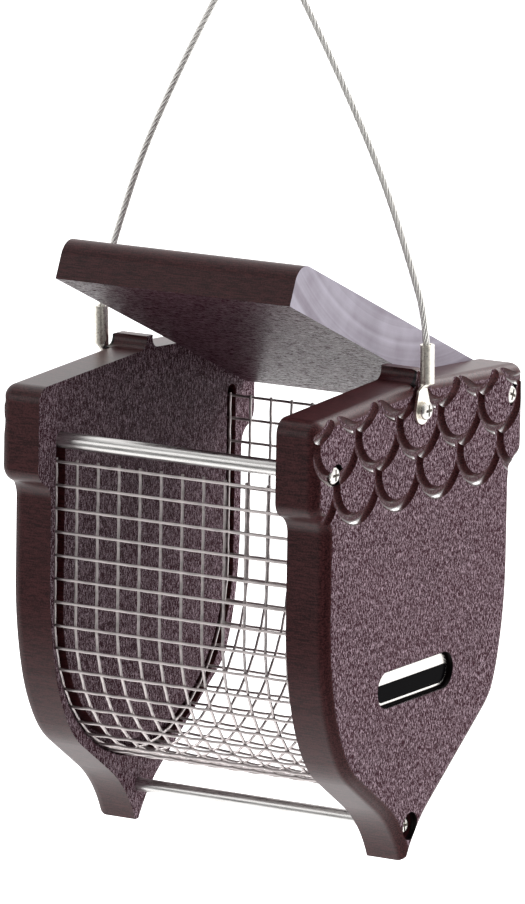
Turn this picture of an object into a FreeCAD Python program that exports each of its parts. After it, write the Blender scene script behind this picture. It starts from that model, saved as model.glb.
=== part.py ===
import FreeCAD
import Part
import math
import os

# Hanging peanut feeder in the shape of an acorn. Two thick end panels of recycled-plastic
# board hold a U of welded wire cloth in routed grooves. A front rod and a bottom rod tie the
# panels together, a one-board lid turns on two screws at the back, and a bare wire rope with a
# crimped lug at each end carries the whole from two screws in the panels' outer faces.
#
# Frame, in millimetres: X runs along the rods, Y to the back, Z up. The origin is the inside of
# the rope's top bend, where a hook takes the weight. The feeder itself is drawn upright, with
# heights measured from its feet, and then hung: turned about the lug screws' axis.

# Board stock
BOARD = 15.875
EDGE_ROUND = 4.0
INNER_GAP = 94.3

# End panel outline: half widths from the middle, heights from the feet
CAP_HALF = 71.8
BODY_HALF = 63.4
FOOT_HALF = 5.4
ROOF_PEAK = 167.8
ROOF_SLOPE_DEG = 3.1
SHOULDER_R = 5.5
STEP_TOP = 135.6
STEP_DROP = 12.0
STEP_SPLIT = 0.45
BELLY_TOP = 95.0
# Belly arcs: how far each end lies inside the body's side, and its height
BELLY_ENDS = [(4.6, 61.0), (13.8, 41.5), (22.3, 33.2)]
BELLY_FLAT_INSET = 40.8
# The back of the foot is cut further in than its front: a belly arc that starts just outside the panel, a
# straight run and an ankle arc, each with its end's place and height
FOOT_BACK_START = (58.6, 58.0)
FOOT_BACK_LEAN_DEG = 17.0
FOOT_BACK_BELLY = (48.1, 43.3)
FOOT_BACK_ANKLE = 11.3
FOOT_BACK_TIP = (-3.2, 0.0)
NUB_RISE = 4.4
NUB_TOP_HALF = 2.1
NUB_BASE_HALF = 5.2
NUB_ROOT = 7.0
NUB_ROUND = 4.0

# The scales, the badge and the lug screws sit this far in front of the panel's middle
FACE_FORWARD = 1.7

# Carved scales on the outer faces of the cap
SCALE_PITCH = 28.1
SCALE_ROW_PITCH = 15.7
SCALE_FIRST_ROW = 127.3
SCALE_OVERLAP = 0.3
SCALE_CUT_R = 2.4
SCALE_CUT_DEPTH = 1.75
SCALE_ROWS = 3

# Screws with pan heads
SCREW_D = 3.5
HEAD_D = 6.6
HEAD_H = 2.3
HEAD_EDGE = 0.9
CROSS_L = 4.0
CROSS_W = 0.95
CROSS_DEPTH = 1.3
ROD_SCREW_L = 25.4
HINGE_SCREW_L = 38.1
LUG_SCREW_L = 12.7
PASS_CLEAR = 0.1
THREAD_CLEAR = 0.02
TURN_CLEAR = 0.08
TAP_SPARE = 1.0

# Rods
FRONT_ROD_D = 5.55
BOTTOM_ROD_D = 4.76
BOTTOM_ROD_FORWARD = 3.4
BOTTOM_ROD_Z = 12.3
BOTTOM_ROD_SEAT = 3.0
ROD_SEAT_CLEAR = 0.05
COUNTERBORE_D = 8.0
COUNTERBORE_DEPTH = 2.9
FOOT_COUNTERBORE_D = 9.9
FOOT_COUNTERBORE_DEPTH = 4.5

# Lid, hinged at the back and drawn open
HINGE_INSET = 7.9
HINGE_BELOW_ROOF = 14.3
LID_SETBACK = 3.9
LID_PIVOT_UP = 6.15
LID_SIDE_GAP = 0.6
LID_REST_GAP = 0.3
LID_EDGE_ROUND = 7.0
LID_OPEN_DEG = 23.2

# Wire cloth, which springs out against the outer wall of its groove
WIRE_D = 1.04
WIRE_PITCH = 8.467
CROSS_PITCH = 8.22
WIRE_TOUCH = 0.02
CLOTH_W = 101.6
CLOTH_LONG_WIRES = 12
CLOTH_SHIFT = -1.7
CLOTH_FORWARD = 0.8
CLOTH_INSET = 5.2
CLOTH_BELOW_ROD = 7.3
CLOTH_BELOW_LID = 5.0
CLOTH_ARC_HEIGHT = 83.0
WIRE_END = 1.1
GROOVE_W = 6.0
GROOVE_DEPTH = 4.8
GROOVE_PAST_EDGE = 1.0
GROOVE_WALL_GAP = 1.6
GROOVE_PAST_CLOTH = 1.5

# Name badge, left blank, in its recess
BADGE_L = 52.0
BADGE_H = 13.0
BADGE_Z = 63.6
BADGE_DEPTH = 2.6
BADGE_T = 0.7
BADGE_CLEAR = 1.0

# Hanger: wire rope and crimped lugs
LUG_BELOW_ROOF = 9.5
HANGER_DROP = 151.7
HANG_TILT_DEG = 2.2
ROPE_D = 2.5
ROPE_CLEAR = 0.05
BARREL_D = 4.9
BARREL_TOP = 23.1
BARREL_BASE = 9.6
BARREL_FLOOR = 1.1
NECK_BASE = 7.2
NECK_W = 5.4
TONGUE_D = 9.8
TONGUE_T = 0.9
TONGUE_GAP = 0.06
# Rope route on the right side, from below the lug's mouth to the top bend: X and Z
ROPE_STRAIGHT_END = -121.7
ROPE_SIDE = [(58.9, -101.2), (48.2, -72.2), (33.6, -43.2), (18.7, -16.5), (9.49, -1.4)]
ROPE_TOP = 2.05
ROPE_BEND_SHARE = 0.45

# Worked out from the sizes above
INNER_X = INNER_GAP / 2
OUTER_X = INNER_X + BOARD
BORE_FLOOR_X = OUTER_X - COUNTERBORE_DEPTH
FOOT_BORE_FLOOR_X = OUTER_X - FOOT_COUNTERBORE_DEPTH
HINGE_Y = CAP_HALF - HINGE_INSET
HINGE_Z = ROOF_PEAK - HINGE_BELOW_ROOF
LID_BOTTOM = HINGE_Z - LID_PIVOT_UP
LID_DEPTH = 2 * CAP_HALF - LID_SETBACK
FACE_Y = -FACE_FORWARD
BOTTOM_ROD_Y = -BOTTOM_ROD_FORWARD
LUG_Z = ROOF_PEAK - LUG_BELOW_ROOF
CLOTH_R = BODY_HALF - CLOTH_INSET
GROOVE_R = CLOTH_R + GROOVE_WALL_GAP - GROOVE_W / 2
GROOVE_FLOOR = max(GROOVE_DEPTH, (CLOTH_W - INNER_GAP) / 2 + GROOVE_PAST_EDGE)
CLOTH_Y = -CLOTH_FORWARD
FRONT_ROD_Y = CLOTH_Y - GROOVE_R
FRONT_ROD_Z = LID_BOTTOM - LID_REST_GAP - FRONT_ROD_D / 2
CLOTH_TOP = FRONT_ROD_Z - CLOTH_BELOW_ROD
CLOTH_FRONT_RUN = CLOTH_TOP - CLOTH_ARC_HEIGHT
CLOTH_BEND_RUN = math.pi * CLOTH_R
CLOTH_BACK_ROOM = LID_BOTTOM - CLOTH_BELOW_LID - CLOTH_ARC_HEIGHT
CLOTH_SPACES = int((CLOTH_FRONT_RUN + CLOTH_BEND_RUN + CLOTH_BACK_ROOM) / CROSS_PITCH)
CLOTH_BACK_RUN = CLOTH_SPACES * CROSS_PITCH - CLOTH_FRONT_RUN - CLOTH_BEND_RUN
CLOTH_BACK_TOP = CLOTH_ARC_HEIGHT + CLOTH_BACK_RUN
BARREL_X = OUTER_X + TONGUE_GAP + BARREL_D / 2

UP = FreeCAD.Vector(0, 0, 1)
ACROSS = FreeCAD.Vector(1, 0, 0)
ORIGIN = FreeCAD.Vector(0, 0, 0)
TOLERANCE = 1e-6


def at(y, z, x=0.0):
    return FreeCAD.Vector(x, y, z)


def line(start, end):
    return Part.LineSegment(at(*start), at(*end)).toShape()


def tangent_arc(start, heading, end):
    """Arc in the Y-Z plane that leaves start along heading; also gives the heading at end."""
    chord = (end[0] - start[0], end[1] - start[1])
    length = math.hypot(*chord)
    along = (chord[0] / length, chord[1] / length)
    dot = heading[0] * along[0] + heading[1] * along[1]
    side = (heading[0] - dot * along[0], heading[1] - dot * along[1])
    bulge = length / 2 * math.hypot(*side) / (1 + dot)
    scale = bulge / math.hypot(*side)
    middle = (start[0] + chord[0] / 2 + side[0] * scale, start[1] + chord[1] / 2 + side[1] * scale)
    arc = Part.Arc(at(*start), at(*middle), at(*end)).toShape()
    return arc, (2 * dot * along[0] - heading[0], 2 * dot * along[1] - heading[1])


def cylinder(radius, x_start, x_end, y, z):
    return Part.makeCylinder(radius, x_end - x_start, at(y, z, x_start), ACROSS)


def mirrored(shape):
    return shape.mirror(ORIGIN, ACROSS)


def hung(shape):
    """Hangs a piece of the feeder: the lug axis comes to its height and the body tips back."""
    copy = shape.copy()
    copy.translate(at(-FACE_Y, -LUG_Z))
    copy.rotate(ORIGIN, ACROSS, -HANG_TILT_DEG)
    copy.translate(at(0, -HANGER_DROP))
    return copy


def opened(shape):
    """Turns a piece of the closed lid about the hinge to its open place."""
    copy = shape.copy()
    copy.rotate(at(HINGE_Y, HINGE_Z), ACROSS, -LID_OPEN_DEG)
    return copy


def save(name, shape):
    if not shape.isValid():
        raise ValueError(name + " is not a valid shape")
    shape.exportStep("parts/" + name + ".step")
    print(name, len(shape.Solids), "solids,", round(shape.Volume), "mm3")


def roof_height(y):
    return ROOF_PEAK - y * math.tan(math.radians(ROOF_SLOPE_DEG))


def half_outline():
    """Edges of the panel's back half, from the roof's peak down to the middle of the foot."""
    slope = math.radians(ROOF_SLOPE_DEG)
    tangent = SHOULDER_R * math.tan((math.pi / 2 - slope) / 2)
    shoulder_y = CAP_HALF - tangent * math.cos(slope)
    roof_end = (shoulder_y, roof_height(shoulder_y))
    side_top = (CAP_HALF, roof_height(CAP_HALF) - tangent)
    shoulder = tangent_arc(roof_end, (math.cos(slope), -math.sin(slope)), side_top)[0]
    edges = [line((0, ROOF_PEAK), roof_end), shoulder]
    step_start = (CAP_HALF, STEP_TOP)
    step_end = (BODY_HALF, STEP_TOP - STEP_DROP)
    step_turn = (CAP_HALF + STEP_SPLIT * (BODY_HALF - CAP_HALF), STEP_TOP - STEP_SPLIT * STEP_DROP)
    edges.append(line(side_top, step_start))
    lip, heading = tangent_arc(step_start, (0, -1), step_turn)
    cove = tangent_arc(step_turn, heading, step_end)[0]
    point = (BODY_HALF, BELLY_TOP)
    edges += [lip, cove, line(step_end, point)]
    heading = (0, -1)
    for inset, height in BELLY_ENDS:
        end = (BODY_HALF - inset, height)
        arc, heading = tangent_arc(point, heading, end)
        edges.append(arc)
        point = end
    run = (BODY_HALF - BELLY_FLAT_INSET - point[0]) / heading[0]
    flat_end = (point[0] + run * heading[0], point[1] + run * heading[1])
    edges.append(line(point, flat_end))
    ankle = tangent_arc(flat_end, heading, (FOOT_HALF, 0))[0]
    edges += [ankle, line((FOOT_HALF, 0), (0, 0))]
    return edges


def panel_blank():
    """The acorn board with its outer edges rounded over, and the stem nub on the roof."""
    back = half_outline()
    front = [edge.mirror(ORIGIN, at(1, 0)) for edge in back]
    outline = Part.Wire(Part.__sortEdges__(back + front))
    board = Part.Face(outline).extrude(ACROSS * BOARD)
    board.translate(ACROSS * INNER_X)
    rim = [e for e in board.Edges if abs(e.BoundBox.XMin - OUTER_X) < TOLERANCE]
    board = board.makeFillet(EDGE_ROUND, rim)
    return board.common(foot_back_blank()).fuse(stem_nub()).removeSplitter()


def foot_back_blank():
    """A larger board that holds the whole panel but for what the back of its foot loses. Its cut edge
    is rounded over like the panel's."""
    lean = math.radians(FOOT_BACK_LEAN_DEG)
    belly, heading = tangent_arc(FOOT_BACK_START, (-math.sin(lean), -math.cos(lean)), FOOT_BACK_BELLY)
    run = (FOOT_BACK_ANKLE - FOOT_BACK_BELLY[0]) / heading[0]
    ankle_start = (FOOT_BACK_ANKLE, FOOT_BACK_BELLY[1] + run * heading[1])
    flat = line(FOOT_BACK_BELLY, ankle_start)
    ankle, heading = tangent_arc(ankle_start, heading, FOOT_BACK_TIP)
    below = (FOOT_BACK_TIP[0] + BOARD * heading[0], FOOT_BACK_TIP[1] + BOARD * heading[1])
    cut_edges = [belly, flat, ankle, line(FOOT_BACK_TIP, below)]
    corners = [FOOT_BACK_START, (2 * CAP_HALF, FOOT_BACK_START[1]), (2 * CAP_HALF, 2 * ROOF_PEAK)]
    corners += [(-2 * CAP_HALF, 2 * ROOF_PEAK), (-2 * CAP_HALF, below[1]), below]
    sides = [line(a, b) for a, b in zip(corners, corners[1:])]
    board = Part.Face(Part.Wire(Part.__sortEdges__(cut_edges + sides))).extrude(ACROSS * BOARD)
    board.translate(ACROSS * INNER_X)
    rim = [e for e in board.Edges if is_foot_back_rim(e)]
    return board.makeFillet(EDGE_ROUND, rim)


def is_foot_back_rim(edge):
    box = edge.BoundBox
    inside = box.YMin > -CAP_HALF and box.YMax < CAP_HALF
    return inside and box.ZMax < FOOT_BACK_START[1] + TOLERANCE and abs(box.XMin - OUTER_X) < TOLERANCE


def stem_nub():
    """A short stem whose flanks sweep out into the roof."""
    base = (NUB_BASE_HALF, roof_height(NUB_BASE_HALF))
    slope = math.radians(ROOF_SLOPE_DEG)
    tip = (NUB_TOP_HALF, ROOF_PEAK + NUB_RISE)
    flank = tangent_arc(base, (-math.cos(slope), math.sin(slope)), tip)[0]
    back = [flank, line(base, (NUB_BASE_HALF, ROOF_PEAK - NUB_ROOT))]
    front = [edge.mirror(ORIGIN, at(1, 0)) for edge in back]
    root = line((NUB_BASE_HALF, ROOF_PEAK - NUB_ROOT), (-NUB_BASE_HALF, ROOF_PEAK - NUB_ROOT))
    top = line(tip, (-NUB_TOP_HALF, ROOF_PEAK + NUB_RISE))
    outline = Part.Wire(Part.__sortEdges__(back + front + [root, top]))
    nub = Part.Face(outline).extrude(ACROSS * BOARD)
    nub.translate(ACROSS * INNER_X)
    tip_edge = [e for e in nub.Edges if is_nub_tip(e)]
    return nub.makeFillet(NUB_ROUND, tip_edge)


def is_nub_tip(edge):
    box = edge.BoundBox
    return abs(box.XMin - OUTER_X) < TOLERANCE and abs(box.ZMin - ROOF_PEAK - NUB_RISE) < TOLERANCE


def scale_cutters():
    """One round-nosed cut per scale: a U whose arms run up to the row above."""
    radius = SCALE_PITCH / 2 + SCALE_OVERLAP
    cutters = []
    for row in range(SCALE_ROWS):
        bottom = SCALE_FIRST_ROW + row * SCALE_ROW_PITCH
        offset = 0.5 if row % 2 == 0 else 0.0
        reach = int((CAP_HALF + radius) / SCALE_PITCH)
        for step in range(-reach - 1, reach + 1):
            y = (step + offset) * SCALE_PITCH + FACE_Y
            if abs(y) < CAP_HALF + SCALE_PITCH / 4:
                cutters.append(scale_cutter(y, bottom, radius))
    return cutters


def scale_cutter(y, bottom, radius):
    centre = bottom + radius
    top = bottom + SCALE_ROW_PITCH
    left = line((y - radius, top), (y - radius, centre))
    right = line((y + radius, centre), (y + radius, top))
    bend = Part.Arc(at(y - radius, centre), at(y, bottom), at(y + radius, centre)).toShape()
    path = Part.Wire([left, bend, right])
    nose_x = OUTER_X + SCALE_CUT_R - SCALE_CUT_DEPTH
    path.translate(ACROSS * nose_x)
    nose = Part.makeCircle(SCALE_CUT_R, at(y - radius, top, nose_x), UP)
    return path.makePipeShell([Part.Wire([nose])], True, False)


def cloth_groove():
    """Routed groove in a panel's inner face. It takes the edge of the cloth, and its front end
    is round about the front rod, which sits in it."""
    outside = GROOVE_R + GROOVE_W / 2
    inside = GROOVE_R - GROOVE_W / 2
    front_top = FRONT_ROD_Z
    back_top = CLOTH_BACK_TOP + GROOVE_PAST_CLOTH
    edges = []
    for radius in (outside, inside):
        edges.append(line((-radius, front_top), (-radius, CLOTH_ARC_HEIGHT)))
        bottom = at(0, CLOTH_ARC_HEIGHT - radius)
        ends = (at(-radius, CLOTH_ARC_HEIGHT), at(radius, CLOTH_ARC_HEIGHT))
        edges.append(Part.Arc(ends[0], bottom, ends[1]).toShape())
        edges.append(line((radius, CLOTH_ARC_HEIGHT), (radius, back_top)))
    for side, top in ((-1, front_top), (1, back_top)):
        ends = (at(side * inside, top), at(side * outside, top))
        crown = at(side * GROOVE_R, top + GROOVE_W / 2)
        edges.append(Part.Arc(ends[0], crown, ends[1]).toShape())
    groove = Part.Face(Part.Wire(Part.__sortEdges__(edges))).extrude(ACROSS * GROOVE_FLOOR)
    groove.translate(at(CLOTH_Y, 0, INNER_X))
    return groove


def badge_slab(length, height, thickness, x):
    """A slab with half-round ends on the right panel's outer face."""
    radius = height / 2
    flat = length / 2 - radius
    edges = []
    for side in (-1, 1):
        edges.append(line((-flat, BADGE_Z + side * radius), (flat, BADGE_Z + side * radius)))
        low = at(side * flat, BADGE_Z - radius)
        high = at(side * flat, BADGE_Z + radius)
        edges.append(Part.Arc(low, at(side * length / 2, BADGE_Z), high).toShape())
    slab = Part.Face(Part.Wire(Part.__sortEdges__(edges))).extrude(ACROSS * thickness)
    slab.translate(at(FACE_Y, 0, x))
    return slab


def panel_holes():
    """Screw holes, counterbores and the bottom rod's seat of a right-hand panel."""
    pass_r = SCREW_D / 2 + PASS_CLEAR
    bore_r = COUNTERBORE_D / 2
    foot_bore_r = FOOT_COUNTERBORE_D / 2
    holes = [cylinder(pass_r, INNER_X, OUTER_X, FRONT_ROD_Y, FRONT_ROD_Z)]
    holes.append(cylinder(bore_r, BORE_FLOOR_X, OUTER_X, FRONT_ROD_Y, FRONT_ROD_Z))
    holes.append(cylinder(SCREW_D / 2 + TURN_CLEAR, INNER_X, OUTER_X, HINGE_Y, HINGE_Z))
    holes.append(cylinder(bore_r, BORE_FLOOR_X, OUTER_X, HINGE_Y, HINGE_Z))
    holes.append(cylinder(pass_r, INNER_X, OUTER_X, BOTTOM_ROD_Y, BOTTOM_ROD_Z))
    holes.append(cylinder(foot_bore_r, FOOT_BORE_FLOOR_X, OUTER_X, BOTTOM_ROD_Y, BOTTOM_ROD_Z))
    seat_r = BOTTOM_ROD_D / 2 + ROD_SEAT_CLEAR
    holes.append(cylinder(seat_r, INNER_X, INNER_X + BOTTOM_ROD_SEAT, BOTTOM_ROD_Y, BOTTOM_ROD_Z))
    lug_hole_end = lug_head_x() - LUG_SCREW_L - TAP_SPARE
    holes.append(cylinder(SCREW_D / 2 + THREAD_CLEAR, lug_hole_end, OUTER_X, FACE_Y, LUG_Z))
    return holes


def lug_head_x():
    """Where the underside of a lug screw's head sits, just clear of the tongue."""
    return OUTER_X + TONGUE_T + 2 * TONGUE_GAP


def hinge_head_x():
    """Where the underside of a hinge screw's head sits, free to turn over its bore's floor."""
    return BORE_FLOOR_X + TURN_CLEAR


def end_panel(badge):
    panel = panel_blank()
    for cutter in scale_cutters():
        panel = panel.cut(cutter)
    cutters = panel_holes() + [cloth_groove()]
    if badge:
        cutters.append(badge_slab(BADGE_L, BADGE_H, BADGE_DEPTH, OUTER_X - BADGE_DEPTH))
    return panel.cut(cutters)


def pan_screw(head_x, y, z, length):
    """Pan-head screw driven towards the middle, with its head's underside at head_x."""
    head = cylinder(HEAD_D / 2, 0, HEAD_H, 0, 0)
    crown = [e for e in head.Edges if abs(e.BoundBox.XMin - HEAD_H) < TOLERANCE]
    head = head.makeFillet(HEAD_H - HEAD_EDGE, crown)
    screw = head.fuse(cylinder(SCREW_D / 2, -length, 0, 0, 0))
    for width, height in ((CROSS_L, CROSS_W), (CROSS_W, CROSS_L)):
        corner = at(-width / 2, -height / 2, HEAD_H - CROSS_DEPTH)
        screw = screw.cut(Part.makeBox(CROSS_DEPTH, width, height, corner))
    screw.translate(at(y, z, head_x))
    return screw


def tie_rod(diameter, seat, y, z, screw_head_x):
    """Round rod seated in both panels, with a tapped hole in each end for its screws."""
    half = INNER_X + seat
    rod = cylinder(diameter / 2, -half, half, y, z)
    tap_end = screw_head_x - ROD_SCREW_L - TAP_SPARE
    tap = cylinder(SCREW_D / 2 + THREAD_CLEAR, tap_end, half, y, z)
    return rod.cut([tap, mirrored(tap)])


def lid_board():
    """One board, closed: both top edges along X rounded, a pilot hole in each end."""
    length = INNER_GAP - 2 * LID_SIDE_GAP
    lid = Part.makeBox(length, LID_DEPTH, BOARD, at(-CAP_HALF, LID_BOTTOM, -length / 2))
    top_edges = [e for e in lid.Edges if is_lid_long_edge(e, LID_BOTTOM + BOARD)]
    lid = lid.makeFillet(LID_EDGE_ROUND, top_edges)
    pilot_end = hinge_head_x() - HINGE_SCREW_L - TAP_SPARE
    pilot = cylinder(SCREW_D / 2 + THREAD_CLEAR, pilot_end, length / 2, HINGE_Y, HINGE_Z)
    return lid.cut([pilot, mirrored(pilot)])


def is_lid_long_edge(edge, height):
    box = edge.BoundBox
    return box.XLength > TOLERANCE and abs(box.ZMin - height) < TOLERANCE


def cloth_long_wires():
    """The U-shaped wires, inside the cross wires, with their ends standing a little proud."""
    radius = CLOTH_R - (WIRE_D + WIRE_TOUCH) / 2
    front = line((-radius, CLOTH_TOP + WIRE_END), (-radius, CLOTH_ARC_HEIGHT))
    bottom = at(0, CLOTH_ARC_HEIGHT - radius)
    bend = Part.Arc(at(-radius, CLOTH_ARC_HEIGHT), bottom, at(radius, CLOTH_ARC_HEIGHT)).toShape()
    back = line((radius, CLOTH_ARC_HEIGHT), (radius, CLOTH_BACK_TOP + WIRE_END))
    path = Part.Wire([front, bend, back])
    section = Part.Wire([Part.makeCircle(WIRE_D / 2, at(-radius, CLOTH_TOP + WIRE_END), UP)])
    wire = path.makePipeShell([section], True, False)
    wires = []
    for index in range(CLOTH_LONG_WIRES):
        copy = wire.copy()
        place = (index - (CLOTH_LONG_WIRES - 1) / 2) * WIRE_PITCH + CLOTH_SHIFT
        copy.translate(at(CLOTH_Y, 0, place))
        wires.append(copy)
    return Part.makeCompound(wires)


def cloth_point(run, radius):
    """Point on the U at a run along the cloth from its front top wire."""
    if run < CLOTH_FRONT_RUN:
        return -radius, CLOTH_TOP - run
    if run < CLOTH_FRONT_RUN + CLOTH_BEND_RUN:
        angle = (run - CLOTH_FRONT_RUN) / CLOTH_R
        return -radius * math.cos(angle), CLOTH_ARC_HEIGHT - radius * math.sin(angle)
    return radius, CLOTH_ARC_HEIGHT + run - CLOTH_FRONT_RUN - CLOTH_BEND_RUN


def cloth_cross_wires():
    """The straight wires along X, outside the U-shaped ones, reaching into both grooves."""
    radius = CLOTH_R + (WIRE_D + WIRE_TOUCH) / 2
    wires = []
    for index in range(CLOTH_SPACES + 1):
        y, z = cloth_point(index * CROSS_PITCH, radius)
        wires.append(cylinder(WIRE_D / 2, -CLOTH_W / 2, CLOTH_W / 2, CLOTH_Y + y, z))
    return Part.makeCompound(wires)


def rope_lug():
    """Crimped lug on the right: a round barrel, a neck pressed flat and an eyed tongue."""
    back = OUTER_X + TONGUE_GAP
    barrel = Part.makeCylinder(BARREL_D / 2, BARREL_TOP - BARREL_BASE, at(0, BARREL_BASE, BARREL_X), UP)
    bore_r = ROPE_D / 2 + ROPE_CLEAR
    floor = BARREL_BASE + BARREL_FLOOR
    bore = Part.makeCylinder(bore_r, BARREL_TOP - floor, at(0, floor, BARREL_X), UP)
    round_end = Part.Wire([Part.makeCircle(BARREL_D / 2, at(0, BARREL_BASE, BARREL_X), UP)])
    half = NECK_W / 2
    corners = [at(-half, NECK_BASE, back), at(half, NECK_BASE, back)]
    corners += [at(half, NECK_BASE, back + TONGUE_T), at(-half, NECK_BASE, back + TONGUE_T)]
    flat_end = Part.makePolygon(corners + corners[:1])
    neck = Part.makeLoft([flat_end, round_end], True, True)
    eye = cylinder(SCREW_D / 2 + TURN_CLEAR, back, back + TONGUE_T, 0, 0)
    lug = barrel.fuse([neck, lug_tongue(back)]).cut([bore, eye]).removeSplitter()
    lug.translate(at(0, -HANGER_DROP))
    return lug


def lug_tongue(x):
    """Flat teardrop round the eye, whose sides leave the round as tangents and meet the neck."""
    radius = TONGUE_D / 2
    half = NECK_W / 2
    reach = math.hypot(half, NECK_BASE)
    turn = math.atan2(NECK_BASE, half) - math.acos(radius / reach)
    touch = (radius * math.cos(turn), radius * math.sin(turn))
    round_end = Part.Arc(at(*touch), at(0, -radius), at(-touch[0], touch[1])).toShape()
    sides = [line(touch, (half, NECK_BASE)), line((-touch[0], touch[1]), (-half, NECK_BASE))]
    top = line((half, NECK_BASE), (-half, NECK_BASE))
    outline = Part.Wire(Part.__sortEdges__([round_end, top] + sides))
    tongue = Part.Face(outline).extrude(ACROSS * TONGUE_T)
    tongue.translate(ACROSS * x)
    return tongue


def rope_route():
    """Points of the rope, from the left lug over the top bend to the right lug."""
    start = BARREL_BASE + BARREL_FLOOR - HANGER_DROP
    right = [(BARREL_X, start), (BARREL_X, ROPE_STRAIGHT_END)] + ROPE_SIDE
    left = [(-x, z) for x, z in right]
    return [at(0, z, x) for x, z in left + [(0, ROPE_TOP)] + right[::-1]]


def rope():
    """Tube along straight runs joined by tangent arcs, each as large as its runs allow."""
    route = rope_route()
    edges = []
    begin = route[0]
    radii = []
    for before, point, after in zip(route, route[1:], route[2:]):
        back = before - point
        ahead = after - point
        turn = math.pi - back.getAngle(ahead)
        trim = ROPE_BEND_SHARE * min(back.Length, ahead.Length)
        radius = trim / math.tan(turn / 2)
        arc_start = point + back.normalize() * trim
        arc_end = point + ahead.normalize() * trim
        inward = (back + ahead).normalize()
        middle = point + inward * (radius / math.cos(turn / 2) - radius)
        edges.append(Part.LineSegment(begin, arc_start).toShape())
        edges.append(Part.Arc(arc_start, middle, arc_end).toShape())
        begin = arc_end
        radii.append(round(radius, 1))
    edges.append(Part.LineSegment(begin, route[-1]).toShape())
    path = Part.Wire(edges)
    section = Part.Wire([Part.makeCircle(ROPE_D / 2, route[0], UP)])
    tube = path.makePipeShell([section], True, False)
    print("rope bend radii", radii)
    print("rope length", round(path.Length, 1), "volume over section times length",
          round(tube.Volume / (math.pi * ROPE_D ** 2 / 4 * path.Length), 4))
    return tube


def save_pair(name, right_shape):
    save(name + "_right", hung(right_shape))
    save(name + "_left", hung(mirrored(right_shape)))


def main():
    os.makedirs("parts", exist_ok=True)
    save("end_panel_right", hung(end_panel(True)))
    save("end_panel_left", hung(mirrored(end_panel(False))))
    badge = badge_slab(BADGE_L - 2 * BADGE_CLEAR, BADGE_H - 2 * BADGE_CLEAR, BADGE_T, OUTER_X - BADGE_DEPTH)
    save("badge_plate", hung(badge))
    front_rod = tie_rod(FRONT_ROD_D, GROOVE_FLOOR, FRONT_ROD_Y, FRONT_ROD_Z, BORE_FLOOR_X)
    save("front_rod", hung(front_rod))
    save_pair("front_rod_screw", pan_screw(BORE_FLOOR_X, FRONT_ROD_Y, FRONT_ROD_Z, ROD_SCREW_L))
    bottom_rod = tie_rod(BOTTOM_ROD_D, BOTTOM_ROD_SEAT, BOTTOM_ROD_Y, BOTTOM_ROD_Z, FOOT_BORE_FLOOR_X)
    save("bottom_rod", hung(bottom_rod))
    save_pair("bottom_rod_screw", pan_screw(FOOT_BORE_FLOOR_X, BOTTOM_ROD_Y, BOTTOM_ROD_Z, ROD_SCREW_L))
    save("mesh_long_wires", hung(cloth_long_wires()))
    save("mesh_cross_wires", hung(cloth_cross_wires()))
    save_pair("lug_screw", pan_screw(lug_head_x(), FACE_Y, LUG_Z, LUG_SCREW_L))
    save("lid_board", hung(opened(lid_board())))
    hinge_screw = pan_screw(hinge_head_x(), HINGE_Y, HINGE_Z, HINGE_SCREW_L)
    save_pair("lid_hinge_screw", opened(hinge_screw))
    save("lug_right", rope_lug())
    save("lug_left", mirrored(rope_lug()))
    save("hanger_rope", rope())


main()
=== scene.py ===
# %% [markdown]
# This lesson dresses a hanging peanut feeder. Two thick acorn-shaped end boards of recycled plastic hold
# a U of welded wire cloth, a board lid turns on two screws at the back, and a wire rope carries the
# whole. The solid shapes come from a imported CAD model, which is loaded first and never moved. Blender
# adds what CAD is poor at: the welds of the cloth, the twist of the rope and the finish of every surface.

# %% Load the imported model
import math

import bmesh
import bpy
from mathutils import Matrix, Vector


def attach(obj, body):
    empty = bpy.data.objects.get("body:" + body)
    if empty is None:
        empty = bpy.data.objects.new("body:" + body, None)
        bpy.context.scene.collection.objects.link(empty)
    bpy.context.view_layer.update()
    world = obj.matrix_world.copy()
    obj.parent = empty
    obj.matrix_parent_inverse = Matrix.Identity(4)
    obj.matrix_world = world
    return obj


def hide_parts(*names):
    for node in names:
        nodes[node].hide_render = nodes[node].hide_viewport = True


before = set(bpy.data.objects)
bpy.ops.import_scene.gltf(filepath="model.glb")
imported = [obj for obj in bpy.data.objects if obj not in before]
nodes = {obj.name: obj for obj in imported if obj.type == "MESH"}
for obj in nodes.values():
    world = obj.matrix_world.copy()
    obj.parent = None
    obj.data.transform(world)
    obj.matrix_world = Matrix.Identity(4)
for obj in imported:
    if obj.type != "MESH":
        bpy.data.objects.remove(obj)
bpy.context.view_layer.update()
print("CAD nodes:", len(nodes))

# %% [markdown]
# The feeder was drawn upright, with heights measured from its feet, and then hung: it tips back a little
# about the axis of the two lug screws, because the open lid pulls it over. One matrix does that hanging.
# The camera, the cloth and the badge are easier to state for the upright feeder, so all go through it.

# %% Hang the feeder
MM = 0.001
LUG_PLACE = Vector((0, -1.7, 158.3)) * MM
HANGER_DROP = 151.7 * MM
HANG_TILT_DEG = -2.2
HUNG = (
    Matrix.Translation((0, 0, -HANGER_DROP))
    @ Matrix.Rotation(math.radians(HANG_TILT_DEG), 4, "X")
    @ Matrix.Translation(-LUG_PLACE)
)
print("lug axis comes to", [round(v, 4) for v in HUNG @ LUG_PLACE])

# %% [markdown]
# The camera stands to the right of the feeder and a little above it, far away behind a long lens, so that
# parallel edges stay nearly parallel. Its angles and its distance were found by fitting the grid of the
# cloth, the rods and the outline to the photograph. Blender measures the lens against the long side of
# the picture.

# %% Place the camera
IMAGE_HEIGHT_PX = 904
FOCAL_PX = 8530.2
SENSOR_MM = 36.0
AZIMUTH_DEG = 30.704
ELEVATION_DEG = 11.015
ROLL_DEG = 0.94
DISTANCE = 2954.0 * MM
TARGET = Vector((0.44, -2.0, 136.54)) * MM
VIEW_END = 50

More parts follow.
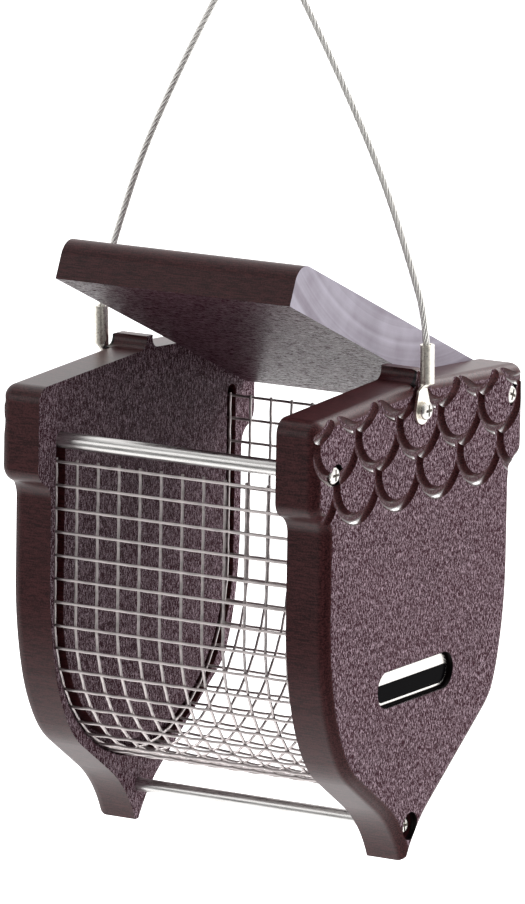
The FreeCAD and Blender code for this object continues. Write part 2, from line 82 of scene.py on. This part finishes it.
lens = bpy.data.cameras.new("long_lens")
lens.sensor_width = SENSOR_MM
lens.lens = FOCAL_PX / IMAGE_HEIGHT_PX * SENSOR_MM
lens.clip_end = VIEW_END
camera = bpy.data.objects.new("camera", lens)
bpy.context.scene.collection.objects.link(camera)
camera.matrix_world = (
    HUNG
    @ Matrix.Translation(TARGET)
    @ Matrix.Rotation(math.radians(AZIMUTH_DEG), 4, "Z")
    @ Matrix.Rotation(math.radians(90 - ELEVATION_DEG), 4, "X")
    @ Matrix.Rotation(math.radians(ROLL_DEG), 4, "Z")
    @ Matrix.Translation((0, 0, DISTANCE))
)
bpy.context.scene.camera = camera
print("lens", round(lens.lens, 1), "mm")

# %% [markdown]
# Every finish below is a small graph of shader nodes. Two helpers keep the graphs readable. One turns the
# sRGB hex value of a colour into the linear numbers that a shader works in. The other adds a node, sets
# its properties, and gives each input either a plain value or a link from another node's output.

# %% Helpers for finishes


def linear(hex_code):
    """Linear colour, with alpha, from an sRGB hex value."""
    channels = [int(hex_code[i:i + 2], 16) / 255 for i in (1, 3, 5)]
    return [c / 12.92 if c <= 0.04045 else ((c + 0.055) / 1.055) ** 2.4 for c in channels] + [1.0]


def add_node(tree, kind, inputs, **properties):
    """Adds a node. An input is a value, or a socket to link from."""
    node = tree.nodes.new(kind)
    for name, value in properties.items():
        setattr(node, name, value)
    for key, value in inputs.items():
        if isinstance(value, bpy.types.NodeSocket):
            tree.links.new(value, node.inputs[key])
        else:
            node.inputs[key].default_value = value
    return node


def new_finish(name):
    """An empty material: its node tree and its Principled shader."""
    material = bpy.data.materials.new(name)
    material.use_nodes = True
    return material, material.node_tree, material.node_tree.nodes["Principled BSDF"]


def dress(names, material):
    """Gives CAD nodes a finish."""
    for name in names:
        nodes[name].data.materials.clear()
        nodes[name].data.materials.append(material)
    print(material.name, "on", ", ".join(names))


# %% [markdown]
# Most patterns here are noise that is stretched until its grains have the right size, and then used to
# blend two colours or two numbers. These helpers say that in a line each.

# %% Helpers for patterns


def noise(tree, place, sizes, detail):
    """Noise whose grains have a size, in millimetres, along each axis."""
    counts = [1 / (size * MM) for size in sizes]
    scaled = add_node(tree, "ShaderNodeVectorMath", {0: place, 1: counts}, operation="MULTIPLY")
    inputs = {"Vector": scaled.outputs[0], "Scale": 1.0, "Detail": detail}
    return add_node(tree, "ShaderNodeTexNoise", inputs).outputs[0]


def spread(tree, value, low, high):
    """Stretches the part of a value between low and high to the whole range."""
    return add_node(tree, "ShaderNodeMapRange", {0: value, 1: low, 2: high}).outputs[0]


def mix_values(tree, factor, low, high):
    """Blend of two numbers, each a value or a socket."""
    return add_node(tree, "ShaderNodeMix", {0: factor, 2: low, 3: high}, data_type="FLOAT").outputs[0]


def mix_colours(tree, factor, low, high):
    """Blend of two colours, each a hex value, a linear colour or a socket."""
    ends = [linear(end) if isinstance(end, str) else end for end in (low, high)]
    inputs = {0: factor, 6: ends[0], 7: ends[1]}
    return add_node(tree, "ShaderNodeMix", inputs, data_type="RGBA").outputs[2]


# %% [markdown]
# New pieces arrive as curves with a round section, because wires and strands are what this object has
# most of. A curve is turned into a mesh at once, so that the finished piece is an ordinary object at the
# origin with its place in its vertices. It then rides on a body of the model, stands for a CAD node,
# which is hidden, and takes the materials it is given.

# %% Helpers for wires
WIRE_SIDES = 8


def wire_mesh(name, lines, diameter):
    """One mesh of round wires, one along each line of points."""
    curve = bpy.data.curves.new(name, "CURVE")
    curve.dimensions = "3D"
    curve.bevel_depth = diameter / 2
    curve.bevel_resolution = (WIRE_SIDES - 4) // 2
    curve.use_fill_caps = True
    for line in lines:
        spline = curve.splines.new("POLY")
        spline.points.add(len(line) - 1)
        for point, place in zip(spline.points, line):
            point.co = (*place, 1)
    holder = bpy.data.objects.new(name, curve)
    mesh = bpy.data.meshes.new_from_object(holder)
    bpy.data.objects.remove(holder)
    bpy.data.curves.remove(curve)
    mesh.name = name
    mesh.shade_smooth()
    return mesh


def place_piece(name, mesh, body, stands_for, materials):
    """Puts a finished mesh in the scene as a piece of the model."""
    piece = bpy.data.objects.new(name, mesh)
    bpy.context.scene.collection.objects.link(piece)
    for material in materials:
        mesh.materials.append(material)
    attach(piece, body)
    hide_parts(*stands_for)
    print(name, len(mesh.polygons), "faces, for", ", ".join(stands_for))
    return piece


# %% [markdown]
# Stainless steel wire is drawn through a die, so it is bright along its length with faint lines. It is a
# metal: its colour is the colour of its reflections, and it keeps the default index of refraction. The
# cloth, the rods and the screws are of this steel and differ in how smooth they are. The rope's
# galvanised wire and the lugs' tinned copper are bright metals too, so one function makes all of them,
# each from its own colour, its roughness and the size of its marks.

# %% Drawn steel
MARK_DETAIL = 3.0
MARKS_ROUGH = (0.25, 0.75)
MARKS_BRIGHT = (0.3, 0.6)
DULL_SHARE = 0.7


def drawn_steel(name, hex_code, roughness, mark_width, mark_length, unevenness):
    """Bright metal whose marks run along X, as the rods do; sizes in millimetres."""
    material, tree, shader = new_finish(name)
    place = add_node(tree, "ShaderNodeTexCoord", {}).outputs["Object"]
    marks = noise(tree, place, (mark_length, mark_width, mark_width), MARK_DETAIL)
    bright = linear(hex_code)
    dull = [channel * DULL_SHARE for channel in bright[:3]] + [1.0]
    tint = mix_colours(tree, spread(tree, marks, *MARKS_BRIGHT), dull, bright)
    smoothest = roughness - unevenness
    roughest = roughness + unevenness
    rough = mix_values(tree, spread(tree, marks, *MARKS_ROUGH), smoothest, roughest)
    tree.links.new(tint, shader.inputs["Base Color"])
    tree.links.new(rough, shader.inputs["Roughness"])
    shader.inputs["Metallic"].default_value = 1.0
    print("metal:", name)
    return material


rod_steel = drawn_steel("drawn_stainless_rod", "#dcdad8", 0.3, 0.3, 9.0, 0.1)
wire_steel = drawn_steel("welded_stainless_wire", "#cdc5c4", 0.45, 2.0, 6.0, 0.08)
screw_steel = drawn_steel("pan_head_stainless", "#d8d4cf", 0.24, 0.5, 0.5, 0.08)
strand_steel = drawn_steel("stranded_galvanised_wire", "#f0eeea", 0.45, 0.3, 0.6, 0.1)

# %% [markdown]
# The hanger is a wire rope: six strands laid round a core, with a lug crimped on each end. The rope's
# line is a NURBS spline whose control points are those of the CAD tube's route. A twist could be faked
# with a bump, but the photograph shows the lay of the strands on the rope's edge, so each strand is a
# real wire. Its centre circles the rope's line at a fixed radius while it runs along it, and the line's
# points are read from the spline itself.

# %% The rope's line
BARREL_X = 65.535
ROUTE_RIGHT = [
    (BARREL_X, -141.0),
    (BARREL_X, -121.7),
    (58.9, -101.2),
    (48.2, -72.2),
    (33.6, -43.2),
    (18.7, -16.5),
    (9.49, -1.4),
]
ROUTE_TOP = (0.0, 2.05)
ROUTE_STEPS = 24
route = [(-x, z) for x, z in ROUTE_RIGHT] + [ROUTE_TOP] + ROUTE_RIGHT[::-1]

rope_curve = bpy.data.curves.new("rope_line", "CURVE")
rope_curve.dimensions = "3D"
rope_curve.resolution_u = ROUTE_STEPS
spline = rope_curve.splines.new("NURBS")
spline.points.add(len(route) - 1)
for point, (x, z) in zip(spline.points, route):
    point.co = (x * MM, 0, z * MM, 1)
spline.order_u = 3
spline.use_endpoint_u = True
holder = bpy.data.objects.new("rope_line", rope_curve)
line_mesh = bpy.data.meshes.new_from_object(holder)
rope_line = [vertex.co.copy() for vertex in line_mesh.vertices]
bpy.data.objects.remove(holder)

# %% Twist the strands
ROPE_D = 2.5 * MM
STRANDS = 6
STRAND_D = ROPE_D / 3
LAY_LENGTH = 17 * MM


def strand_points(phase):
    """A strand's centre line: a helix round the rope's line."""
    points = []
    run = 0.0
    for index, here in enumerate(rope_line):
        before = rope_line[max(index - 1, 0)]
        after = rope_line[min(index + 1, len(rope_line) - 1)]
        along = (after - before).normalized()
        side = Vector((0, 1, 0))
        out = along.cross(side)
        run += (here - before).length
        turn = phase + 2 * math.pi * run / LAY_LENGTH
        points.append(here + (side * math.cos(turn) + out * math.sin(turn)) * (ROPE_D - STRAND_D) / 2)
    return points


strands = [strand_points(2 * math.pi * index / STRANDS) for index in range(STRANDS)]
rope = place_piece(
    "wire_rope",
    wire_mesh("wire_rope", strands + [rope_line], STRAND_D),
    "hanger", ["hanger_rope"], [strand_steel],
)

# %% [markdown]
# The cloth is welded steel wire. Its cross wires lie outside the U-shaped wires, and at each crossing the
# welder pressed the two together until they sank into each other a little. So a wire dips towards the
# other set at every crossing and stands off it in between, which is a shallow wave with one period to
# each mesh opening.

# %% The cloth's form
WIRE_D = 1.04
LONG_PITCH = 8.467
CROSS_PITCH = 8.22
LONG_WIRES = 12
SPACES = 36
CLOTH_W = 101.6
CLOTH_SHIFT = -1.7
CLOTH_Y = -0.8
CLOTH_R = 58.2
CLOTH_TOP = 136.975
ARC_HEIGHT = 83.0
WIRE_END = 1.1
STAND_OFF = 0.53
DIP = 0.12
STEPS_PER_SPACE = 8

front_run = CLOTH_TOP - ARC_HEIGHT
bend_run = math.pi * CLOTH_R
first_wire_x = -(LONG_WIRES - 1) / 2 * LONG_PITCH + CLOTH_SHIFT


def on_cloth(x, run, lift):
    """Hung place of a point of the cloth: run along the U from its front top, lift outwards."""
    radius = CLOTH_R + lift
    if run < front_run:
        y, z = -radius, CLOTH_TOP - run
    elif run < front_run + bend_run:
        angle = (run - front_run) / CLOTH_R
        y, z = -radius * math.cos(angle), ARC_HEIGHT - radius * math.sin(angle)
    else:
        y, z = radius, ARC_HEIGHT + run - front_run - bend_run
    return HUNG @ (Vector((x, CLOTH_Y + y, z)) * MM)


def steps(start, end, pitch):
    """Evenly spaced values, a fixed number to each mesh opening."""
    count = round((end - start) / pitch * STEPS_PER_SPACE)
    return [start + (end - start) * index / count for index in range(count + 1)]


def stand_off(past_crossing, pitch):
    """How far a wire is from the cloth's middle, at a distance past one of its crossings."""
    return STAND_OFF - DIP * math.cos(2 * math.pi * past_crossing / pitch)


# %% Weld the cloth
long_lines = []
for index in range(LONG_WIRES):
    x = first_wire_x + index * LONG_PITCH
    runs = steps(-WIRE_END, SPACES * CROSS_PITCH + WIRE_END, CROSS_PITCH)
    long_lines.append([on_cloth(x, run, -stand_off(run, CROSS_PITCH)) for run in runs])
cross_lines = []
for index in range(SPACES + 1):
    run = index * CROSS_PITCH
    places = steps(-CLOTH_W / 2, CLOTH_W / 2, LONG_PITCH)
    cross_lines.append([on_cloth(x, run, stand_off(x - first_wire_x, LONG_PITCH)) for x in places])
place_piece(
    "welded_long_wires",
    wire_mesh("welded_long_wires", long_lines, WIRE_D * MM),
    "feeder", ["mesh_long_wires"], [wire_steel],
)
place_piece(
    "welded_cross_wires",
    wire_mesh("welded_cross_wires", cross_lines, WIRE_D * MM),
    "feeder", ["mesh_cross_wires"], [wire_steel],
)

# %% [markdown]
# The boards are extruded from recycled high-density polyethylene: a dark brown plastic lumber, coloured
# through. Its flat faces come from the extruder grainy, drawn out along the board, and their shine follows
# the same grain; the glints of that grain are painted into the colour as fine pale flecks, a painted
# highlight. Its edges are cut by a router, which leaves them redder and smoother, with faint chatter along
# X. The lid's ends are sawn and left pale, with the blade's arcs across them. The surface normal tells
# faces, edges and ends apart, so one function paints them all, and it is told which way the board's faces
# look and which way its grain runs.

# %% Saw marks
SAW_MARK = 4.0
SAW_PATCH = 12.0
SAW_DETAIL = 5.0
SAW_PATCH_SHARE = 0.45
SAW_HUB = Vector((0, 48.5, 6.7)) * MM


def along_axis(tree, normal, axis):
    """How squarely the surface faces along an axis, either way: from zero to one."""
    facing = add_node(tree, "ShaderNodeVectorMath", {0: normal, 1: axis}, operation="DOT_PRODUCT")
    return add_node(tree, "ShaderNodeMath", {0: facing.outputs["Value"]}, operation="ABSOLUTE").outputs[0]


def saw_scuff(tree, place):
    """The blade's arcs round a hub, with blotches, on a sawn end."""
    across = add_node(tree, "ShaderNodeVectorMath", {0: place, 1: (0, 1, 1)}, operation="MULTIPLY")
    arm = add_node(tree, "ShaderNodeVectorMath", {0: across.outputs[0], 1: SAW_HUB}, operation="SUBTRACT")
    reach = add_node(tree, "ShaderNodeVectorMath", {0: arm.outputs[0]}, operation="LENGTH")
    inputs = {"W": reach.outputs["Value"], "Scale": 1 / (SAW_MARK * MM), "Detail": SAW_DETAIL}
    arcs = add_node(tree, "ShaderNodeTexNoise", inputs, noise_dimensions="1D")
    patches = noise(tree, place, (SAW_PATCH, SAW_PATCH, SAW_PATCH), SAW_DETAIL)
    return mix_values(tree, SAW_PATCH_SHARE, arcs.outputs[0], patches)


# %% [markdown]
# On the end boards, the depth under the outer face tells more places apart. The scales are cut with a
# round-nosed bit. In the photograph the cuts' walls are steep: those that face the front are dark, and
# those that face the back glint. The solids have shallower cuts, so the shading normal is turned further
# from the face on the front walls, and the back walls are glossier. The badge's recess and the screws'
# bores are painted nearly black inside, as painted shade. All depths are in millimetres, and each limit
# has a short fade.

# %% Cuts, recess and bores
PANEL_FACE_X = 63.025
CARVED = 1.9
CARVED_FADE = 0.3
CARVED_TOP = 160.5
ROOF_FADE = 1.0
SKIN = 0.15
SKIN_FADE = 0.2
CARVED_STEEP = 0.35
SUNK = 2.8
SUNK_FADE = 0.2
SUNK_FLOOR = (0.9, 0.7)
SUNK_WALL_FACING = (0.25, 0.12)
SUNK_FLOOR_FACING = (0.8, 0.9)


def from_middle(tree, place):
    """Distance from the feeder's middle plane, along X."""
    sides = add_node(tree, "ShaderNodeSeparateXYZ", {0: place})
    return add_node(tree, "ShaderNodeMath", {0: sides.outputs[0]}, operation="ABSOLUTE").outputs[0]


def carved(tree, place):
    """How far a point is in the carved layer of the board, and how far in it and under the face's skin."""
    out = from_middle(tree, place)
    height = add_node(tree, "ShaderNodeSeparateXYZ", {0: place}).outputs[2]
    floor = PANEL_FACE_X - CARVED
    skin = PANEL_FACE_X - SKIN
    top = CARVED_TOP * MM - LUG_PLACE.z - HANGER_DROP * math.cos(math.radians(HANG_TILT_DEG))
    under_roof = spread(tree, height, top, top - ROOF_FADE * MM)
    in_layer = spread(tree, out, floor * MM, (floor + CARVED_FADE) * MM)
    is_carved = mix_values(tree, under_roof, 0.0, in_layer)
    under_skin = spread(tree, out, skin * MM, (skin - SKIN_FADE) * MM)
    return is_carved, mix_values(tree, is_carved, 0.0, under_skin)


def sunk_painted_shade(tree, place, squarely):
    """How far a point is on the wall or floor of the badge's recess or of a screw's bore, where shade is
    painted near black.
    """
    out = from_middle(tree, place)
    deepest = PANEL_FACE_X - SUNK
    is_near = spread(tree, out, deepest * MM, (deepest + SUNK_FADE) * MM)
    is_wall = spread(tree, squarely, *SUNK_WALL_FACING)
    is_deep = spread(tree, out, (deepest + SUNK_FLOOR[0]) * MM, (deepest + SUNK_FLOOR[1]) * MM)
    is_floor = mix_values(tree, spread(tree, squarely, *SUNK_FLOOR_FACING), 0.0, is_deep)
    either = add_node(tree, "ShaderNodeMath", {0: is_wall, 1: is_floor}, operation="MAXIMUM")
    return mix_values(tree, is_near, 0.0, either.outputs[0])


def steeper(tree, where):
    """The surface's normal, turned further from the end boards' faces where asked."""
    surface = add_node(tree, "ShaderNodeNewGeometry", {}).outputs["Normal"]
    lean = (CARVED_STEEP, 1, 1)
    turned = add_node(tree, "ShaderNodeVectorMath", {0: surface, 1: lean}, operation="MULTIPLY")
    inputs = {0: where, 4: surface, 5: turned.outputs[0]}
    mixed = add_node(tree, "ShaderNodeMix", inputs, data_type="VECTOR")
    return add_node(tree, "ShaderNodeVectorMath", {0: mixed.outputs[1]}, operation="NORMALIZE").outputs[0]


# %% [markdown]
# With the places told apart, the board's finish blends a colour, a roughness, a shine and a bump for
# each. The flecks are painted glints in a pale colour, about as wide as a pixel of the picture, so they
# show as the fine grain that the photograph has.

# %% Recycled board
MOTTLE = 14.0
CHATTER = 0.5
CHATTER_RUN = 5.0
GRAIN_DETAIL = 2.0
MOTTLE_DETAIL = 3.0
EVEN_BLEND = 0.5
FLAT_FACING = (0.96, 0.995)
ROUND_FACING = (0.1, 0.4)
WALL_FACING = (0.98, 0.9)
TO_FRONT = (-0.05, -0.2)
TO_BACK = (-0.2, -0.05)
PAINTED_GLINT_RANGE = (0.49, 0.62)
SHINE_RANGE = (0.42, 0.58)
WEAR_RANGE = (0.4, 0.6)
SCUFF_RANGE = (0.3, 0.65)
EDGE_ROUGH = 0.36
EDGE_SHINE = 0.3
EDGE_BUMP = 0.15
FACE_BUMP = 0.8
END_ROUGH = 0.55
CUT_SHINE = 0.12
BACK_WALL_ROUGH = 0.16
BACK_WALL_SHINE = 0.6
BACK_WALL_IOR = 1.9
PLASTIC_IOR = 1.5


def recycled_board(name, tilt_deg, face, fleck, streak, flat, rounded, relief, sawn_ends, pale):
    """Plastic lumber. The face axis and the sizes of flecks and streaks are as before the board is
    tilted about X. Flat faces have a roughness and a least and most shine, which follows the grain, and
    rounded edges have a roughness and a shine. The relief is in millimetres. The pale colour is that of
    the flecks, which are painted glints of the grainy face."""
    material, tree, shader = new_finish(name)
    coordinates = add_node(tree, "ShaderNodeTexCoord", {})
    turned_back = (-math.radians(tilt_deg), 0, 0)
    upright = []
    for kind in ("Object", "Normal"):
        inputs = {"Vector": coordinates.outputs[kind], "Rotation": turned_back}
        upright.append(add_node(tree, "ShaderNodeMapping", inputs).outputs[0])
    place, normal = upright
    squarely = along_axis(tree, normal, face)
    is_face = spread(tree, squarely, *FLAT_FACING)
    is_rounded = spread(tree, squarely, *ROUND_FACING)
    if not sawn_ends:
        is_carved, is_cut = carved(tree, place)
        is_face = mix_values(tree, is_cut, is_face, 0.0)
        to_back = add_node(tree, "ShaderNodeSeparateXYZ", {0: normal}).outputs[1]
        front_wall = mix_values(tree, is_carved, 0.0, spread(tree, to_back, *TO_FRONT))
        wall = mix_values(tree, is_carved, 0.0, spread(tree, squarely, *WALL_FACING))
        back_wall = mix_values(tree, wall, 0.0, spread(tree, to_back, *TO_BACK))

    flecks = noise(tree, place, fleck, GRAIN_DETAIL)
    streaks = noise(tree, place, streak, GRAIN_DETAIL)
    grain = mix_values(tree, EVEN_BLEND, flecks, streaks)
    mottle = noise(tree, place, (MOTTLE, MOTTLE, MOTTLE), MOTTLE_DETAIL)
    speckle = noise(tree, place, (CHATTER, CHATTER, CHATTER), GRAIN_DETAIL)
    chatter = noise(tree, place, (CHATTER_RUN, CHATTER, CHATTER), GRAIN_DETAIL)
    wear = mix_values(tree, EVEN_BLEND, speckle, chatter)

    face_tone = mix_colours(tree, mottle, "#2c0d17", "#3d1a25")
    # The pale flecks mixed into the face's colour are painted glints of its grain: a painted highlight.
    face_colour = mix_colours(tree, spread(tree, grain, *PAINTED_GLINT_RANGE), face_tone, pale)
    edge_colour = mix_colours(tree, spread(tree, wear, *WEAR_RANGE), "#260a0d", "#50282a")
    colour = mix_colours(tree, is_face, edge_colour, face_colour)
    edge_rough = mix_values(tree, is_rounded, EDGE_ROUGH, rounded[0])
    rough = mix_values(tree, is_face, edge_rough, flat[0])
    edge_shine = mix_values(tree, is_rounded, EDGE_SHINE, rounded[1])
    face_shine = mix_values(tree, spread(tree, grain, *SHINE_RANGE), flat[1], flat[2])
    shine = mix_values(tree, is_face, edge_shine, face_shine)
    height = mix_values(tree, is_face, wear, grain)
    strength = mix_values(tree, is_face, EDGE_BUMP, FACE_BUMP)
    if sawn_ends:
        is_end = spread(tree, along_axis(tree, normal, (1, 0, 0)), *FLAT_FACING)
        scuff = saw_scuff(tree, place)
        end_colour = mix_colours(tree, spread(tree, scuff, *SCUFF_RANGE), "#8b818d", "#bcb6c3")
        colour = mix_colours(tree, is_end, colour, end_colour)
        rough = mix_values(tree, is_end, rough, END_ROUGH)
        height = mix_values(tree, is_end, height, scuff)
    bump_inputs = {"Height": height, "Strength": strength, "Distance": relief * MM}
    bump = add_node(tree, "ShaderNodeBump", bump_inputs)
    if not sawn_ends:
        # Painted shade: the walls and floors of the recess and the bores are painted near black.
        colour = mix_colours(tree, sunk_painted_shade(tree, place, squarely), colour, "#0a0405")
        rough = mix_values(tree, back_wall, rough, BACK_WALL_ROUGH)
        cut_shine = mix_values(tree, back_wall, CUT_SHINE, BACK_WALL_SHINE)
        shine = mix_values(tree, is_cut, shine, cut_shine)
        tree.links.new(steeper(tree, front_wall), bump.inputs["Normal"])
        bend = mix_values(tree, back_wall, PLASTIC_IOR, BACK_WALL_IOR)
        tree.links.new(bend, shader.inputs["IOR"])
    tree.links.new(colour, shader.inputs["Base Color"])
    tree.links.new(rough, shader.inputs["Roughness"])
    tree.links.new(bump.outputs[0], shader.inputs["Normal"])
    tree.links.new(shine, shader.inputs["Specular IOR Level"])
    return material


# %% Dress the boards
LID_OPEN_DEG = -23.2
panel_board = recycled_board(
    "recycled_board_upright", HANG_TILT_DEG, face=(1, 0, 0), fleck=(0.4, 0.4, 0.6),
    streak=(0.42, 0.42, 1.9), flat=(0.42, 0.012, 0.048), rounded=(0.42, 0.15), relief=0.15,
    sawn_ends=False, pale="#b9a1ac",
)
lid_board = recycled_board(
    "recycled_board_lid", HANG_TILT_DEG + LID_OPEN_DEG, face=(0, 0, 1), fleck=(1.1, 0.55, 0.55),
    streak=(5.0, 0.6, 0.6), flat=(0.36, 0.0, 0.2), rounded=(0.4, 0.2), relief=0.35,
    sawn_ends=True, pale="#6f5761",
)
dress(["end_panel_right", "end_panel_left"], panel_board)
dress(["lid_board"], lid_board)

# %% [markdown]
# The rods and the screws are CAD nodes whose shapes are right as they are, down to the cross recesses, so
# they only get their steel. The lugs are tinned copper, pressed bright and a little warmer than the steel
# round them.

# %% Rods, screws and lugs
lug_tin = drawn_steel("tinned_copper_lug", "#f2ece0", 0.3, 0.8, 0.8, 0.05)
dress(["front_rod", "bottom_rod"], rod_steel)
screws = [name for name in nodes if "screw" in name]
dress(screws, screw_steel)
dress(["lug_right", "lug_left"], lug_tin)

# %% [markdown]
# The badge is a thin bright plate at the bottom of a recess in the near board, with a field of black
# enamel under a bright band. It is left blank. Half of a circle's vertices are pulled to each end to make
# its long outline, then the face is extruded to its thickness, inset to mark off the rim, and cut along
# the foot of the band.

# %% Badge plate
BADGE_L = 50.0
BADGE_H = 11.0
BADGE_T = 0.7
BADGE_Y = -1.7
BADGE_Z = 63.6
BADGE_DEPTH = 2.6
BADGE_X = PANEL_FACE_X - BADGE_DEPTH
BADGE_SEGMENTS = 48
RIM = 0.7
BAND_BASE = 1.6

badge = bmesh.new()
bmesh.ops.create_circle(badge, cap_ends=True, segments=BADGE_SEGMENTS, radius=BADGE_H / 2)
badge_flat = (BADGE_L - BADGE_H) / 2
for vertex in badge.verts:
    vertex.co.x += math.copysign(badge_flat, vertex.co.x)
base = badge.faces[:]
bmesh.ops.recalc_face_normals(badge, faces=base)
raised = bmesh.ops.extrude_face_region(badge, geom=base)
top_verts = [item for item in raised["geom"] if isinstance(item, bmesh.types.BMVert)]
top_face = [item for item in raised["geom"] if isinstance(item, bmesh.types.BMFace)]
bmesh.ops.translate(badge, verts=top_verts, vec=(0, 0, BADGE_T))
bmesh.ops.inset_region(badge, faces=top_face, thickness=RIM)
field_edges = [edge for face in top_face for edge in face.edges]
field_verts = [vert for face in top_face for vert in face.verts]
field = top_face + field_edges + field_verts
halves = bmesh.ops.bisect_plane(badge, geom=field, plane_co=(0, BAND_BASE, 0), plane_no=(0, 1, 0))
for face in [item for item in halves["geom"] if isinstance(item, bmesh.types.BMFace)]:
    if face.calc_center_median().y < BAND_BASE:
        face.material_index = 1
bmesh.ops.recalc_face_normals(badge, faces=badge.faces[:])
to_panel = Matrix(((0, 0, 1, BADGE_X), (1, 0, 0, BADGE_Y), (0, 1, 0, BADGE_Z), (0, 0, 0, 1)))
bmesh.ops.transform(badge, verts=badge.verts[:], matrix=HUNG @ Matrix.Scale(MM, 4) @ to_panel)
badge_mesh = bpy.data.meshes.new("badge")
badge.to_mesh(badge_mesh)
badge.free()
print("badge plate:", len(badge_mesh.polygons), "faces")

# %% [markdown]
# Enamel is a glassy coat with a faint orange peel. Its index of refraction would be about 1.5, but in the
# photograph the field stays black where the plate round it mirrors the bright sweep, so the index is set
# just above 1 and the coat reflects almost nothing.

# %% Badge enamel
PEEL = 1.5
PEEL_STRENGTH = 0.1
PEEL_DEPTH = 0.05
ENAMEL_ROUGH = 0.12
ENAMEL_IOR = 1.04

enamel, tree, shader = new_finish("black_enamel")
place = add_node(tree, "ShaderNodeTexCoord", {}).outputs["Object"]
orange_peel = add_node(tree, "ShaderNodeTexNoise", {"Vector": place, "Scale": 1 / (PEEL * MM)})
peel_inputs = {"Height": orange_peel.outputs[0], "Strength": PEEL_STRENGTH, "Distance": PEEL_DEPTH * MM}
enamel_bump = add_node(tree, "ShaderNodeBump", peel_inputs)
tree.links.new(enamel_bump.outputs[0], shader.inputs["Normal"])
shader.inputs["Base Color"].default_value = linear("#0a090b")
shader.inputs["Roughness"].default_value = ENAMEL_ROUGH
shader.inputs["IOR"].default_value = ENAMEL_IOR
place_piece("badge", badge_mesh, "feeder", ["badge_plate"], [screw_steel, enamel])

# %% [markdown]
# The studio is a white sweep behind the feeder with the room in front of it left dim. That is what gives
# the boards their look: the faces turned to the sweep take a pale haze, and the edges turned to the room
# stay dark. The camera always sees the sweep as white, and reflections see it too, brighter behind than
# in front.

# %% Studio sweep
SWEEP_FRONT_Y = -0.8
SWEEP_BACK_Y = 0.15
SWEEP_FRONT = 0.28
SWEEP_BACK = 1.5
ROOM_LIGHT = 0.4
WHITE = (1, 1, 1, 1)

scene = bpy.context.scene
scene.view_settings.view_transform = "Standard"
world = bpy.data.worlds.new("studio")
scene.world = world
world.use_nodes = True
sky = world.node_tree
backdrop = sky.nodes["Background"]
ray = add_node(sky, "ShaderNodeLightPath", {}).outputs
direction = add_node(sky, "ShaderNodeTexCoord", {})
heading = add_node(sky, "ShaderNodeSeparateXYZ", {0: direction.outputs["Generated"]})
sweep_inputs = {0: heading.outputs[1], 1: SWEEP_FRONT_Y, 2: SWEEP_BACK_Y, 3: SWEEP_FRONT, 4: SWEEP_BACK}
sweep = add_node(sky, "ShaderNodeMapRange", sweep_inputs, interpolation_type="SMOOTHSTEP")
mirror_rays = {0: ray["Is Glossy Ray"], 1: ray["Is Transmission Ray"]}
in_mirrors = add_node(sky, "ShaderNodeMath", mirror_rays, operation="MAXIMUM")
lit = mix_values(sky, in_mirrors.outputs[0], ROOM_LIGHT, sweep.outputs[0])
seen = mix_values(sky, ray["Is Camera Ray"], lit, 1.0)
backdrop.inputs["Color"].default_value = WHITE
sky.links.new(seen, backdrop.inputs["Strength"])
print("sweep from", SWEEP_FRONT, "in front to", SWEEP_BACK, "behind")

# %% [markdown]
# A floor of white paper far below the hanging feeder catches its shadow. Where the camera or a reflection
# sees it, it glows a little, so that it joins the white sweep. The glow adds no diffuse light.

# %% Paper floor
FLOOR_Z = -0.62
FLOOR_HALF = 5
FLOOR_IN_FRONT = 0.6
FLOOR_GLOW = 1.1
PAPER = (0.85, 0.85, 0.85, 1)
PAPER_ROUGH = 0.9

floor_shape = bmesh.new()
bmesh.ops.create_grid(floor_shape, x_segments=1, y_segments=1, size=FLOOR_HALF)
floor_place = (0, FLOOR_HALF - FLOOR_IN_FRONT, FLOOR_Z)
bmesh.ops.translate(floor_shape, verts=floor_shape.verts[:], vec=floor_place)
floor_mesh = bpy.data.meshes.new("floor")
floor_shape.to_mesh(floor_mesh)
floor_shape.free()
floor = bpy.data.objects.new("floor", floor_mesh)
scene.collection.objects.link(floor)
paper, tree, shader = new_finish("white_paper_floor")
ray = add_node(tree, "ShaderNodeLightPath", {}).outputs
shader.inputs["Base Color"].default_value = PAPER
shader.inputs["Roughness"].default_value = PAPER_ROUGH
watching_rays = {0: ray["Is Camera Ray"], 1: ray["Is Glossy Ray"]}
watched = add_node(tree, "ShaderNodeMath", watching_rays, operation="MAXIMUM")
glow = add_node(tree, "ShaderNodeMath", {0: watched.outputs[0], 1: FLOOR_GLOW}, operation="MULTIPLY")
shader.inputs["Emission Color"].default_value = WHITE
tree.links.new(glow.outputs[0], shader.inputs["Emission Strength"])
floor_mesh.materials.append(paper)
print("floor at", FLOOR_Z, "m")

# %% [markdown]
# Three soft lamps light the feeder: a large one behind and above, one on the right, and a weak one in
# front on the left. A square lamp would show as a grey patch in the carved cuts of the near board, so the
# lamp on the right lights things without being mirrored in them.

# %% Lamps


def soft_box(name, place, aim, size, watts, mirrored):
    """A square lamp at a place, turned towards a point. Shiny things mirror it only if asked."""
    lamp = bpy.data.lights.new(name, "AREA")
    lamp.size = size
    lamp.energy = watts
    box = bpy.data.objects.new(name, lamp)
    scene.collection.objects.link(box)
    box.location = place
    box.visible_glossy = mirrored
    box.rotation_euler = (Vector(aim) - Vector(place)).to_track_quat("-Z", "Y").to_euler()
    print(name, watts, "W")


middle = (0, 0, -0.2)
soft_box("back_box", (0.4, 1.7, 0.9), middle, 1.2, 30, mirrored=True)
soft_box("right_box", (1.5, 0.5, 0.35), middle, 1.0, 10, mirrored=False)
soft_box("left_fill", (-1.1, -1.3, 0.3), middle, 0.8, 4, mirrored=True)
